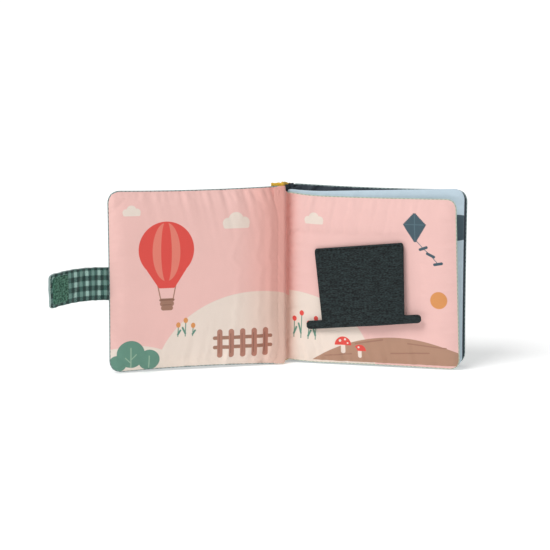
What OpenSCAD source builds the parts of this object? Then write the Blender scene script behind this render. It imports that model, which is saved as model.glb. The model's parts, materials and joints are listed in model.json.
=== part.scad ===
// Open padded cloth picture book with a closing strap and a felt flap.
// Lengths are millimetres. The origin is the foot of the spine, +Z is up,
// and the reader looks along +Y into the open spread.

/* [Covers] */
// Width of a cover from its hinge line to its outer edge
cover_w = 168; // [140:1:200]
// Height of a cover at its spine end
cover_h = 170; // [150:1:200]
// Thickness of a filled cover
cover_t = 9; // [7:0.5:9.5]
// Corner radius at the outer edge of a cover
cover_r = 12; // [8:1:18]
// Thickness of one layer of printed or woven cloth
cloth_t = 1; // [0.6:0.1:1.2]
// Width of the flat sewn seam round every filled panel
seam_w = 3; // [2:0.5:4]
// How far the middle of a cover's top and bottom pulls in
cover_pull = 2.5; // [0:0.5:4]
// How much lower the back cover's outer end has sunk
back_droop = 3; // [0:0.5:5]

/* [Pages] */
// Width of a leaf from the fold to its outer edge
leaf_w = 168.5; // [140:0.5:199]
// How much narrower the front leaf is at its top
leaf_taper = 5; // [0:0.5:6]
// Height of the front leaf
front_leaf_h = 161; // [145:1:190]
// Height of the rear leaf
rear_leaf_h = 166; // [145:1:190]
// Thickness of a filled leaf
leaf_t = 7.5; // [5:0.5:7.5]
// Corner radius at the outer edge of a leaf
leaf_r = 10; // [8:1:20]
// How far the front leaf's top outer corner curls towards the reader
leaf_curl = 3; // [0:1:10]
// How far the rear leaf's outer end has risen
rear_leaf_rise = 3; // [0:0.5:4]
// Height of the leaves' lower edge above the ground at the fold
fold_lift = 1.5; // [0.5:0.5:3]

/* [Spine] */
// Distance between the two cover hinge lines
spine_w = 24.5; // [24:0.5:32]
// How far the spine cloth bulges out between the hinge lines
spine_bulge = 4.5; // [4:0.5:7]
// Thickness of the folded spine cloth
binding_t = 2.2; // [1.5:0.1:2.4]
// Width of the binding that laps over each cover
binding_lap = 6.5; // [5:0.5:20]
// How far the binding stands above the covers
binding_rise = 1; // [0:0.5:3]

/* [Open pose] */
// Turn of the line between the hinges, seen from above
spine_turn = 76; // [70:1:82]
// Angle of the front cover in front of the left-right line
front_angle = 16; // [10:1:20]
// Angle of the front leaf in front of the left-right line
front_leaf_angle = 14.6; // [14:0.2:16]
// Angle of the rear leaf in front of the left-right line
rear_leaf_angle = 12; // [11:0.2:12.4]
// Angle of the back cover in front of the left-right line
back_angle = 10; // [5:0.5:10.5]

/* [Strap] */
// Height of the strap's band
strap_w = 31; // [24:1:45]
// Length of the strap beyond the cover's edge
strap_l = 74; // [60:1:110]
// Thickness of the doubled strap cloth
strap_t = 3; // [2:0.5:4]
// Angle at which the strap leaves the cover's edge
strap_start = 27; // [0:1:30]
// Total turn of the strap's curl towards the reader
strap_curl = 16; // [8:1:40]
// How far the strap would rise along its length if it did not sag
strap_rise = 9; // [0:1:12]
// How far the strap's free end sags
strap_sag = 8; // [0:1:12]
// Height of the hook and loop patches
patch_w = 25; // [16:1:28]
// Length of the hook and loop patches
patch_l = 22; // [16:1:34]
// Thickness of a hook or loop patch
patch_t = 1.2; // [0.8:0.1:1.6]

/* [Felt flap] */
// Width of the crown at its sewn top edge
crown_top = 86; // [60:1:90]
// Width of the crown above the brim
crown_foot = 80; // [56:1:88]
// Height of the crown
crown_h = 67.5; // [50:0.5:75]
// How far the crown's foot and the brim sit nearer the spine than its top
crown_lean = 2; // [0:0.5:4]
// Width of the brim
brim_w = 111; // [92:1:115]
// Height of the brim
brim_h = 8.5; // [6:0.5:12]
// Thickness of the felt
felt_t = 2.5; // [1.5:0.5:3]
// Distance of the flap's middle from the fold
flap_x = 72.5; // [70:0.5:80]
// Height of the flap's sewn top edge above the leaf's foot
flap_top = 115; // [108:0.5:122]
// Turn of the flap on the page
flap_turn = 6; // [0:0.5:7]
// Angle at which the flap stands off the page below its sewn edge
flap_lift = 1.5; // [0:0.5:2.5]
// Angle at which the flap's outer end stands off the page
flap_swing = 1.5; // [1.5:0.5:2.5]

/* [Hidden] */

// Running gap between soft pieces on different bodies, and between lapped layers
clear = 0.3;
// Gap between cloth and filling, and under a sewn patch
layer_gap = 0.05;
// Height of a printed field above its cloth
print_t = 0.3;
// Distance over which the filling rises from the seam
soft = 14;
// Distance over which the filling rises from the spine edge
spine_soft = 40;
// Corner radius at the spine edge of a panel
spine_r = 5;
// Share of a panel's pull that its outer side takes
outer_pull = 0.2;
// Distance from a hinge line to the sewn edge of its cover
hinge_gap = 1.2;
// Distance between the two leaves' seams at the fold, and its shift to the rear
fold_pitch = 6.2;
fold_shift = 0.8;
// Radius of the rounded fold that joins the leaves
fold_r = 2.2;
// Points on a panel's side and on its corner
side_n = 7;
arc_n = 4;
// Insets of the rings that make a panel's surface, inside the seam
rises = [0, 1.5, 4, 8, 14, 27, 50];

PINK = [0.93, 0.74, 0.70];
CREAM = [0.90, 0.84, 0.79];
CORAL = [0.87, 0.31, 0.28];
BROWN = [0.63, 0.47, 0.40];
SAGE = [0.45, 0.60, 0.53];
SLATE = [0.27, 0.35, 0.39];
ORANGE = [0.85, 0.58, 0.35];
MUSTARD = [0.89, 0.74, 0.31];
SKY = [0.74, 0.82, 0.87];
NAVY = [0.20, 0.24, 0.27];
CHECK = [0.31, 0.49, 0.44];
FELT = [0.18, 0.22, 0.22];
HOOK = [0.29, 0.49, 0.39];

// Directions along the spine chord and from the spine towards the pages
spine_dir = [cos(spine_turn), sin(spine_turn)];
spine_in = [sin(spine_turn), -cos(spine_turn)];
chord_mid = spine_bulge * spine_in;
front_hinge = chord_mid - spine_w / 2 * spine_dir;
back_hinge = chord_mid + spine_w / 2 * spine_dir;
// Radius of the bulging spine, and half the angle that it spans
spine_sag_r = (pow(spine_w / 2, 2) + pow(spine_bulge, 2)) / (2 * spine_bulge);
spine_half = asin((spine_w / 2) / spine_sag_r);
// The leaves' fold lies against the inside of the binding
fold_sag = spine_sag_r - sqrt(pow(spine_sag_r, 2) - pow(fold_pitch / 2 + fold_shift, 2));
fold_mid = (binding_t / 2 + fold_r / 2 + clear + fold_sag) * spine_in + fold_shift * spine_dir;
front_fold = fold_mid - fold_pitch / 2 * spine_dir;
rear_fold = fold_mid + fold_pitch / 2 * spine_dir;

// Quarter-round rise from 0 to 1
function rise(s) = sqrt(1 - pow(1 - min(max(s, 0), 1), 2));

// A side from a to b whose middle moves inwards by bow, without its ends
function side(a, b, bow) =
    let (d = (b - a) / norm(b - a))
    [for (i = [1:side_n]) let (t = i / (side_n + 1)) a + (b - a) * t + 4 * bow * t * (1 - t) * [-d.y, d.x]];

// A quarter circle from angle a0, with both ends
function corner(c, r, a0) =
    [for (i = [0:arc_n]) let (a = a0 + 90 * i / arc_n) c + r * [cos(a), sin(a)]];

// Outline of a panel inset by d: x from x0 to w, z from 0 to h, sides pulled in by bow
function outline(x0, w, h, r, bow, d) =
    let (ro = max(r - d, r * 0.3), ri = max(spine_r - d, 1.5),
         xl = x0 + d, xr = w - d, zl = d, zh = h - d,
         fade = 1 - 0.8 * d / (seam_w + rises[len(rises) - 1]), b = bow * fade)
    concat(
        side([xl + ri, zl], [xr - ro, zl], b * 0.8), corner([xr - ro, zl + ro], ro, -90),
        side([xr, zl + ro], [xr, zh - ro], b * outer_pull), corner([xr - ro, zh - ro], ro, 0),
        side([xr - ro, zh], [xl + ri, zh], b * 0.6), corner([xl + ri, zh - ri], ri, 90),
        side([xl, zh - ri], [xl, zl + ri], 0), corner([xl + ri, zl + ri], ri, 180));

// A panel is [x0, w, h, thickness, corner radius, pull, droop, curl, lift, taper]
function height_at(p, x, z) =
    z * (1 - p[6] / p[2] * max(x, 0) / p[1]) + p[8] * pow(1 - min(max(x / spine_soft, 0), 1), 2);
function curl_at(p, x, z) = -p[7] * pow(max(x, 0) / p[1], 4) * (z / p[2] - 0.25) / 0.75;

// Half thickness at a distance d inside the outline and x from the spine edge
function half_at(p, x, d) =
    cloth_t + (p[3] / 2 - cloth_t) * rise((d - seam_w) / soft) * rise((x - p[0]) / spine_soft);

// One face of a panel as rings: way is -1 or 1 in Y, cut is taken off its half thickness
function face_rings(p, way, cut, first) =
    let (all = concat([0], [for (s = rises) seam_w + s]))
    [for (k = [first:len(all) - 1])
        [for (q = outline(p[0], p[1], p[2], p[4], p[5], all[k]))
            let (half = max(half_at(p, q.x, all[k]) - cut, 0), narrow = 1 - p[9] / p[1] * q.y / p[2])
            [q.x * narrow, curl_at(p, q.x, q.y) + way * half, height_at(p, q.x, q.y)]]];

// Middle of a ring of points
function mean(points) = [for (k = [0:2]) [for (q = points) q[k]] * [for (q = points) 1] / len(points)];

// Closed solid between two ring stacks, near (towards -Y) and far (towards +Y)
module between(near, far) {
    n = len(near[0]);
    k = len(near);
    points = concat([for (r = near) each r], [for (r = far) each r], [mean(near[k - 1]), mean(far[k - 1])]);
    f = n * k;
    near_mid = 2 * f;
    far_mid = near_mid + 1;
    faces = concat(
        [for (j = [0:k - 2], i = [0:n - 1]) let (a = j * n + i, b = j * n + (i + 1) % n) each
            [[a + n, b + n, b], [a + n, b, a], [f + a, f + b, f + b + n], [f + a, f + b + n, f + a + n]]],
        [for (i = [0:n - 1]) let (a = i, b = (i + 1) % n) each
            [[a, b, f + b], [a, f + b, f + a]]],
        [for (i = [0:n - 1]) let (a = (k - 1) * n + i, b = (k - 1) * n + (i + 1) % n) each
            [[near_mid, b, a], [far_mid, f + a, f + b]]]);
    polyhedron(points, faces);
}

// The cloth on one face of a panel
module cloth_face(p, way) {
    outer = face_rings(p, way, 0, 0);
    inner = face_rings(p, way, cloth_t, 0);
    if (way < 0) between(outer, inner);
    else between(inner, outer);
}

// The loose filling inside a panel
module wadding(p) {
    skin = cloth_t + layer_gap;
    between(face_rings(p, -1, skin, 2), face_rings(p, 1, skin, 2));
}

// A whole filled panel in one solid
module filled(p) {
    between(face_rings(p, -1, 0, 0), face_rings(p, 1, 0, 0));
}

// Printed fields: the flat children, laid on one face inside its seam
module printed(p, way) {
    root = cloth_t / 2;
    intersection() {
        if (way < 0) between(face_rings(p, way, -print_t, 1), face_rings(p, way, root, 1));
        else between(face_rings(p, way, root, 1), face_rings(p, way, -print_t, 1));
        translate([0, cover_t * 3, 0]) rotate([90, 0, 0]) linear_extrude(cover_t * 6) children();
    }
}

cover = [hinge_gap, cover_w, cover_h, cover_t, cover_r, cover_pull, 0, 0, 0, 0];
back = [hinge_gap, cover_w, cover_h, cover_t, cover_r, cover_pull, back_droop, 0, 0, 0];
front_leaf = [0, leaf_w, front_leaf_h, leaf_t, leaf_r, 1.5, 0, leaf_curl, fold_lift, leaf_taper];
rear_leaf = [0, leaf_w, rear_leaf_h, leaf_t, leaf_r, 1.5, -rear_leaf_rise, 0, fold_lift, 0];

module on_front_cover() translate(front_hinge) rotate([0, 0, 180 + front_angle]) children();
module on_back_cover() translate(back_hinge) rotate([0, 0, -back_angle]) children();
module on_front_leaf() translate(front_fold) rotate([0, 0, -front_leaf_angle]) children();
module on_rear_leaf() translate(rear_fold) rotate([0, 0, -rear_leaf_angle]) children();

// Flat motifs, each drawn about its own foot or middle
module bar(a, b, r) hull() {
    translate(a) circle(r, $fn = 12);
    translate(b) circle(r, $fn = 12);
}
module cloud(s) {
    for (c = [[-0.55, -0.1, 0.36], [0, 0.12, 0.5], [0.55, -0.08, 0.38]])
        translate(s * [c.x, c.y]) circle(s * c.z, $fn = 20);
    bar([-0.7 * s, -0.3 * s], [0.75 * s, -0.3 * s], 0.16 * s);
}
module hill(x, z, rx, rz) translate([x, z]) scale([rx, rz]) circle(1, $fn = 40);
module dome(x, z, r) translate([x, z]) intersection() {
    circle(r, $fn = 24);
    translate([-r, 0]) square([2 * r, r]);
}
module kite(s) polygon([[0, -1.3 * s], [0.8 * s, 0], [0, 0.8 * s], [-0.8 * s, 0]]);

// The left page as the reader sees it, from its outer edge
module mirrored() translate([cover_w, 0]) mirror([1, 0]) children();
balloon = [54, 114];
balloon_r = 26;
basket_z = 66;
post_z = 13;
post_h = 22;
module left_cream() mirrored() {
    hill(128, -10, 92, 66);
    hill(24, -28, 62, 54);
    translate([120, 138]) cloud(14);
    translate([22, 150]) cloud(9);
}
module left_sage() mirrored() for (b = [[20, 18, 13], [37, 12, 10], [8, 9, 8]])
    translate([b.x, b.y]) circle(b.z, $fn = 28);
module left_coral() mirrored() {
    translate(balloon) circle(balloon_r, $fn = 48);
    translate(balloon) polygon([[-19, -17.5], [19, -17.5], [7, -36], [-7, -36]]);
}
module left_brown() mirrored() {
    hull() {
        translate([balloon.x - 7, basket_z]) square([14, 3]);
        translate([balloon.x - 5, basket_z - 8]) square([10, 3]);
    }
    for (x = [104:11:148]) bar([x, post_z], [x, post_z + post_h], 2.6);
    for (z = [0.35, 0.75]) bar([99, post_z + z * post_h], [153, post_z + z * post_h], 1.7);
}
module right_cream() {
    hill(18, -16, 66, 60);
    translate([30, 138]) cloud(10);
}
module right_brown() difference() {
    hill(108, -72, 122, 101);
    translate([-20, -20]) square([220, 24]);
}
module right_slate() {
    translate([128, 136]) kite(13);
    for (b = [[136, 114, 20], [143, 108, -25], [150, 100, 10]]) translate([b.x, b.y]) rotate(b.z)
        for (way = [-1, 1]) bar([0, 0], [3.4 * way, 0], 1.3);
}
module right_coral() for (m = [[58, 20, 8], [74, 15, 6]]) dome(m.x, m.y, m.z);
module right_orange() translate([150, 66]) circle(8, $fn = 28);
module rear_slate() translate([leaf_w - 6, 124]) circle(22, $fn = 32);

module front_cover_cloth() color(CHECK) on_front_cover() cloth_face(cover, -1);
module front_cover_page() on_front_cover() {
    color(PINK) cloth_face(cover, 1);
    color(CREAM) printed(cover, 1) left_cream();
    color(SAGE) printed(cover, 1) left_sage();
    color(CORAL) printed(cover, 1) left_coral();
    color(BROWN) printed(cover, 1) left_brown();
}
module front_cover_wadding() color("white") on_front_cover() wadding(cover);

module back_cover_page() color(NAVY) on_back_cover() cloth_face(back, -1);
module back_cover_wadding() color("white") on_back_cover() wadding(back);
module back_cover_cloth() color(CHECK) on_back_cover() cloth_face(back, 1);

// Both leaves are one folded sheet
module pages() {
    on_front_leaf() {
        color(PINK) filled(front_leaf);
        color(CREAM) printed(front_leaf, -1) right_cream();
        color(BROWN) printed(front_leaf, -1) right_brown();
        color(SLATE) printed(front_leaf, -1) right_slate();
        color(CORAL) printed(front_leaf, -1) right_coral();
        color(ORANGE) printed(front_leaf, -1) right_orange();
    }
    on_rear_leaf() {
        color(SKY) filled(rear_leaf);
        color(SLATE) printed(rear_leaf, -1) rear_slate();
    }
    color(CREAM) translate([0, 0, fold_lift + spine_r]) linear_extrude(front_leaf_h - 2 * spine_r) hull() {
        translate(front_fold + fold_r / 2 * spine_in) circle(fold_r, $fn = 20);
        translate(rear_fold + fold_r / 2 * spine_in) circle(fold_r, $fn = 20);
    }
}

// Points along the bulging spine, offset inwards by d
spine_n = 12;
// The spine cloth stops short of each hinge line, to leave room for the turning cover
spine_short = 2.6;
spine_reach = spine_half - spine_short / spine_sag_r * 180 / PI;
// Radius of the rolled seam at each hinge line, and half the thickness of the cloth that leads to it
seam_r = hinge_gap - clear;
web_r = 0.4;
function spine_arc(d) =
    [for (i = [0:spine_n]) let (a = spine_reach * (2 * i / spine_n - 1))
        spine_sag_r * spine_in + (spine_sag_r - d) * (sin(a) * spine_dir - cos(a) * spine_in)];
module rolled_seam(hinge, spine_end) {
    translate(hinge) circle(seam_r, $fn = 12);
    hull() {
        translate(hinge) circle(web_r, $fn = 12);
        translate(spine_end) circle(web_r, $fn = 12);
    }
}
module spine_binding() {
    inner = spine_arc(binding_t / 2);
    outer = spine_arc(-binding_t / 2);
    web = spine_arc(binding_t / 2 - web_r);
    color(MUSTARD) linear_extrude(cover_h + binding_rise) union() {
        polygon(concat(inner, [for (i = [spine_n:-1:0]) outer[i]]));
        rolled_seam(front_hinge, web[0]);
        rolled_seam(back_hinge, web[spine_n]);
    }
}

// Distance from a cover's sewn spine edge to its lapped binding
lap_start = 4;
// Binding lapped over one outer face of a cover, following its filling
module binding_lap(p, way) {
    steps = 6;
    x0 = p[0] + lap_start;
    lap = [for (i = [0:steps]) let (x = x0 + binding_lap * i / steps)
        [x, half_at(p, x, x - p[0]) + clear]];
    fold = binding_t / 2;
    linear_extrude(p[2] + binding_rise)
        polygon(concat([for (q = lap) [q.x, way * q.y]],
                       [for (i = [steps:-1:0]) [lap[i].x, way * (lap[i].y + fold)]]));
}
module front_binding_lap() color(MUSTARD) on_front_cover() binding_lap(cover, -1);
module back_binding_lap() color(MUSTARD) on_back_cover() binding_lap(back, 1);

// The strap's curl: a circular arc that starts at the cover's outer edge
strap_x = cover_w - outer_pull * cover_pull + clear + strap_t / 2 * sin(strap_start);
curl_r = strap_l / (strap_curl * PI / 180);
function strap_z(s) = cover_h / 2 - 1 + strap_rise * s / strap_l - strap_sag * pow(s / strap_l, 2);
function curl_point(s, off) =
    let (a = strap_start + s / curl_r * 180 / PI)
    [strap_x + curl_r * (sin(a) - sin(strap_start)) - off * sin(a),
     curl_r * (cos(strap_start) - cos(a)) + off * cos(a)];

// Half height of a tab of width w at s, with rounded ends of radius ra and rb
function tab_half(s, s0, s1, w, ra, rb) =
    let (a = max(ra - (s - s0), 0), b = max(rb - (s1 - s), 0))
    w / 2 - (ra - sqrt(max(ra * ra - a * a, 0))) - (rb - sqrt(max(rb * rb - b * b, 0)));

// A band from s0 to s1 on the curl, between two offsets towards the reader
module curled_tab(s0, s1, w, off0, off1, ra, rb) {
    n = 14;
    at = [for (i = [0:n]) s0 + (s1 - s0) * (1 - cos(180 * i / n)) / 2];
    points = [for (s = at) let (h = tab_half(s, s0, s1, w, ra, rb),
                                a = curl_point(s, off0), b = curl_point(s, off1)) each
        [for (c = [[a, -h], [b, -h], [b, h], [a, h]]) [c[0].x, c[0].y, strap_z(s) + c[1]]]];
    faces = concat([[0, 1, 2, 3]],
        [for (i = [0:n - 1], j = [0:3]) let (a = 4 * i + j, b = 4 * i + (j + 1) % 4) each
            [[a, a + 4, b + 4], [a, b + 4, b]]],
        [[4 * n + 3, 4 * n + 2, 4 * n + 1, 4 * n]]);
    polyhedron(points, faces);
}
patch_margin = 3;
patch_r = 4;
strap_r = 4;
module closing_strap() color(CHECK) on_front_cover()
    curled_tab(0, strap_l, strap_w, -strap_t / 2, strap_t / 2, 0, strap_r);
module hook_patch() color(HOOK) on_front_cover()
    curled_tab(strap_l - patch_margin - patch_l, strap_l - patch_margin, patch_w,
               strap_t / 2 + 2 * layer_gap, strap_t / 2 + 2 * layer_gap + patch_t, patch_r, patch_r);
module loop_patch() color(HOOK) on_back_cover()
    translate([cover_w - seam_w - soft - patch_l / 2, cover_t / 2, cover_h / 2]) rotate([-90, 0, 0])
        linear_extrude(patch_t) offset(patch_r, $fn = 24)
            square([patch_l - 2 * patch_r, patch_w - 2 * patch_r], center = true);

// The felt flap hangs from its top edge in front of the front leaf
module on_flap() on_front_leaf() translate([flap_x, 0, flap_top])
    rotate([0, -flap_turn, 0]) translate([-crown_top / 2, -leaf_t / 2 - clear, 0])
    rotate([-flap_lift, 0, -flap_swing]) translate([crown_top / 2, 0, 0]) rotate([90, 0, 0]) children();
// Outline of a tall crown on a straight brim
flap_edge = let (foot = [-crown_lean, -crown_h], side = crown_foot / 2, reach = brim_w / 2) [
    [-crown_top / 2, 0], foot - [side, 0], foot - [reach, 0], foot - [reach, brim_h],
    foot + [reach, -brim_h], foot + [reach, 0], foot + [side, 0], [crown_top / 2, 0]
];
module felt_flap() color(FELT) on_flap() linear_extrude(felt_t) polygon(flap_edge);
stitch_l = 3.2;
stitch_gap = 2;
stitch_t = 0.6;
module flap_stitching() color("darkslategray") on_flap() {
    count = floor((crown_top - 6) / (stitch_l + stitch_gap));
    for (i = [0:count - 1])
        translate([-count * (stitch_l + stitch_gap) / 2 + i * (stitch_l + stitch_gap), -3.5, felt_t])
            cube([stitch_l, stitch_t, stitch_t]);
}

front_cover_cloth();
front_cover_page();
front_cover_wadding();
closing_strap();
hook_patch();
front_binding_lap();
spine_binding();
pages();
felt_flap();
flap_stitching();
back_cover_page();
back_cover_wadding();
back_cover_cloth();
back_binding_lap();
loop_patch();
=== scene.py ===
# %% [markdown]
# A padded cloth picture book for a small child, standing open on a table.
# The real book is sewn from printed cotton, woven check and felt, and each cover and leaf is a flat cushion.
# Here every piece is a surface that numpy works out from a few sizes. Blender's cloth solver then fills the
# cushions, and the pictures are drawn by shader maths, so they stay sharp from near and far.

# %% Load the frame
import json
import math
from collections import namedtuple

import bpy
import numpy as np
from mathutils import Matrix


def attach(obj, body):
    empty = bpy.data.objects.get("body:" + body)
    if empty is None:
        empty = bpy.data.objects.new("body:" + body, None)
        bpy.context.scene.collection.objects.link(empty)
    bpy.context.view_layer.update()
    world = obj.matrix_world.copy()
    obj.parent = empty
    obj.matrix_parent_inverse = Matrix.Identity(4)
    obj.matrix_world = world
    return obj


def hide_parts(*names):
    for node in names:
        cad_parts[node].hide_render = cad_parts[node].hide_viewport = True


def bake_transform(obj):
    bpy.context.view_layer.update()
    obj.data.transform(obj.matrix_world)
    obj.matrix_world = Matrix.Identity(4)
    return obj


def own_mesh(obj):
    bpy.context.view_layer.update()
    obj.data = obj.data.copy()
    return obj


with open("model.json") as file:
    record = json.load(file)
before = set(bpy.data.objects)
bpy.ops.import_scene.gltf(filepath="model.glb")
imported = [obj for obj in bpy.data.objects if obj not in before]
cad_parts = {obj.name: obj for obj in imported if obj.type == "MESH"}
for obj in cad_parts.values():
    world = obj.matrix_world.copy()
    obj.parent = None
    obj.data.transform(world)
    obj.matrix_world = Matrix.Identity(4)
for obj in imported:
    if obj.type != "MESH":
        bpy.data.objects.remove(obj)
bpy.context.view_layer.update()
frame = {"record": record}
MM = 0.001

# %% [markdown]
# The book has two hinges, one at each edge of the spine cloth, and the frame says where they are.
# The other sizes are those of the real book in millimetres. A panel is a cover or a leaf: it has its own flat
# coordinates, with x from the spine to the outer edge and z upwards, and a place and a direction on the table.

# %% Sizes of the panels
Panel = namedtuple("Panel", "start width height thickness outer_r pull droop curl lift dip taper place angle")
SEAM_W, SOFT, SPINE_SOFT, SPINE_R, HINGE_GAP = 3.0, 14.0, 40.0, 5.0, 1.2
SPINE_TURN, SPINE_W, SPINE_BULGE, BINDING_T, CLEAR = 76.0, 24.5, 4.5, 2.2, 0.3
FOLD_PITCH, FOLD_SHIFT, FOLD_R = 6.2, 0.8, 2.2

hinge = {j["name"]: np.array(j["pos_m"][:2]) / MM for j in frame["record"]["behaviour"]["joints"]}
SPINE_DIR = np.array([math.cos(math.radians(SPINE_TURN)), math.sin(math.radians(SPINE_TURN))])
SPINE_IN = np.array([SPINE_DIR[1], -SPINE_DIR[0]])
SAG_R = ((SPINE_W / 2) ** 2 + SPINE_BULGE**2) / (2 * SPINE_BULGE)
FOLD_SAG = SAG_R - math.sqrt(SAG_R**2 - (FOLD_PITCH / 2 + FOLD_SHIFT) ** 2)
FOLD_MID = (BINDING_T / 2 + FOLD_R / 2 + CLEAR + FOLD_SAG) * SPINE_IN + FOLD_SHIFT * SPINE_DIR
FRONT_FOLD, REAR_FOLD = FOLD_MID - FOLD_PITCH / 2 * SPINE_DIR, FOLD_MID + FOLD_PITCH / 2 * SPINE_DIR

FRONT_COVER = Panel(HINGE_GAP, 168, 170, 9, 12, 2.5, 0, 0, 0, 0, 0, hinge["front_cover_hinge"], 196)
BACK_COVER = Panel(HINGE_GAP, 168, 170, 9, 12, 2.5, 3, 0, 0, 0, 0, hinge["back_cover_hinge"], -10)
FRONT_LEAF = Panel(0, 168.5, 161, 7.5, 10, 1.5, 0, 3, 3, 0, 5, FRONT_FOLD, -14.6)
REAR_LEAF = Panel(0, 168.5, 166, 7.5, 10, 1.5, -3, 0, 3, 3.5, 0, REAR_FOLD, -12)
print("front fold at", FRONT_FOLD.round(2), "rear fold at", REAR_FOLD.round(2))


# %% [markdown]
# A panel starts as a square grid of two numbers, a and b, that run from -1 to 1. Each square ring of the grid
# becomes one rounded outline of the panel, so the rows of the mesh run along the seam as the threads do there.

# %% The flat outline of a panel
def rise(s):
    """A quarter-round rise from 0 to 1: the square root of 1 - (1 - s)^2."""
    return np.sqrt(1 - (1 - np.clip(s, 0, 1)) ** 2)


def flat_point(panel, a, b):
    """(a, b) to x, z and the depth inside the seam. A point in a corner slides along the ray from the corner's
    middle to its arc, and each side moves in by pull (1 - t^2), so that it bows between its corners."""
    half_w, half_h = (panel.width - panel.start) / 2, panel.height / 2
    ring = np.maximum(abs(a), abs(b))
    depth = (1 - ring) * half_w
    x, z = a * half_w, b * half_h
    radius = np.maximum(np.where(a > 0, panel.outer_r, SPINE_R) - depth, 0)
    mid_x, mid_z = np.sign(a) * (ring * half_w - radius), np.sign(b) * (ring * half_h - radius)
    out_x, out_z = x - mid_x, z - mid_z
    reach = np.hypot(out_x, out_z) + 1e-9
    corner = (out_x * np.sign(a) > 0) & (out_z * np.sign(b) > 0) & (radius > 0)
    x = np.where(corner, mid_x + out_x / reach * radius, x)
    z = np.where(corner, mid_z + out_z / reach * radius, z)
    z = z - np.sign(b) * panel.pull * np.where(b < 0, 0.8, 0.6) * abs(b) ** 3 * (1 - a**2)
    x = x - 0.2 * panel.pull * np.maximum(a, 0) ** 3 * (1 - b**2)
    return x + (panel.width + panel.start) / 2, z + half_h, depth


print("outer top corner of a cover, mm:", [round(float(v), 1) for v in flat_point(FRONT_COVER, 1.0, 1.0)])

# %% [markdown]
# The filling makes the thickness. It rises as a quarter circle from the flat seam, and slowly from the spine,
# where the maker leaves it thin so that the book can close. The front leaf also curls towards the reader, and
# a small lift or droop tells how the panel stands on the table.

# %% The filled surface of a panel
def panel_surface(panel, a, b, way, extra=0.0):
    """Points of one face, way -1 in front and 1 behind: x and z from the flat outline, and y the half thickness
    plus extra, minus a curl that grows with the fourth power of x. The rim itself has no thickness, and a taper
    makes the top narrower than the foot. dip lets the top sink towards the spine."""
    x, z, depth = flat_point(panel, a, b)
    filled = (panel.thickness / 2 - 1) * rise((depth - SEAM_W) / SOFT) * rise((x - panel.start) / SPINE_SOFT)
    half = np.where(depth < 0.01, 0, np.minimum(0.75 + 0.08 * depth, 1) + filled + extra)
    along = np.maximum(x, 0) / panel.width
    curl = panel.curl * along**4 * (z / panel.height - 0.25) / 0.75
    near_spine = np.clip(1 - x / SPINE_SOFT, 0, 1) ** 2
    up = z * (1 - panel.droop / panel.height * along) + panel.lift * near_spine
    up = up - panel.dip * (z / panel.height) ** 2 * np.clip(1 - along, 0, 1) ** 2
    return np.stack([x * (1 - panel.taper / panel.width * z / panel.height), way * half - curl, up], axis=-1)


def on_table(points, place, degrees):
    """Panel points to table points: a turn about the vertical, then a move to the panel's hinge or fold."""
    c, s = math.cos(math.radians(degrees)), math.sin(math.radians(degrees))
    return points @ np.array([[c, s, 0], [-s, c, 0], [0, 0, 1]]) + [place[0], place[1], 0]


print("half the thickness in the middle of a cover, mm:", round(float(panel_surface(FRONT_COVER, 0.0, 0.0, 1)[1]), 2))

# %% [markdown]
# Seams gather cloth a little, and the gathers run square to the seam as soft ridges. Sines of unrelated lengths
# added together never repeat, so they look like hand-fed cloth. The cloth solver later grows its own folds from
# these small ones.

# %% Gathers at the seams
def ripple(s, seed):
    """Sum of four sines of s with unrelated wavelengths, about -1 to 1."""
    rng = np.random.default_rng(seed)
    lengths, phases = np.array([6.7, 9.9, 14.3, 23.0]), rng.uniform(0, 2 * math.pi, 4)
    return sum(math.sqrt(k / 23) * np.sin(2 * math.pi * s / k + p) for k, p in zip(lengths, phases)) / 2


def gathers(panel, a, b, seed, top=1.0, bottom=1.0, outer=0.5, spine=0.6, reach=11.0, creases=()):
    """Ridges square to each side: a ripple along the side that fades with the distance from it. Those at the top
    and the bottom are strongest near the spine, where they lean towards it as they run into the page. Each crease
    is (x, height, sway) of a long soft fold."""
    x, z, depth = flat_point(panel, a, b)
    near_spine = 0.3 + 0.9 * np.clip(1.15 - x / panel.width, 0, 1) ** 1.5
    fade = lambda gap: np.exp(-gap / (reach * (0.7 + 0.8 * near_spine))) * np.clip(gap / SEAM_W, 0, 1)
    gap = panel.height - z
    ridges = top * near_spine * fade(gap) * ripple(x + 0.22 * gap, seed)
    ridges += bottom * near_spine * fade(z) * ripple(x + 0.22 * z, seed + 1)
    ridges += outer * fade(panel.width - x) * ripple(z, seed + 2) + spine * fade(x) * ripple(z, seed + 3)
    for at, height, sway in creases:
        ridges += height * np.exp(-(((x - at - sway * ripple(0.4 * z, seed + 4)) / 2.6) ** 2)) * rise(depth / 12)
    return 1.1 * ridges * (depth > 1.5)


print("a ripple's highest and lowest:", [round(float(f(ripple(np.arange(500.0), 1))), 2) for f in (np.max, np.min)])

# %% [markdown]
# All meshes pass through one helper. It takes the points in millimetres, writes them with from_pydata and
# foreach_set, and keeps a "page" attribute: the flat position of each point on its cloth. A print or a weave
# that follows this attribute bends with the cloth and never slides.

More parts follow.
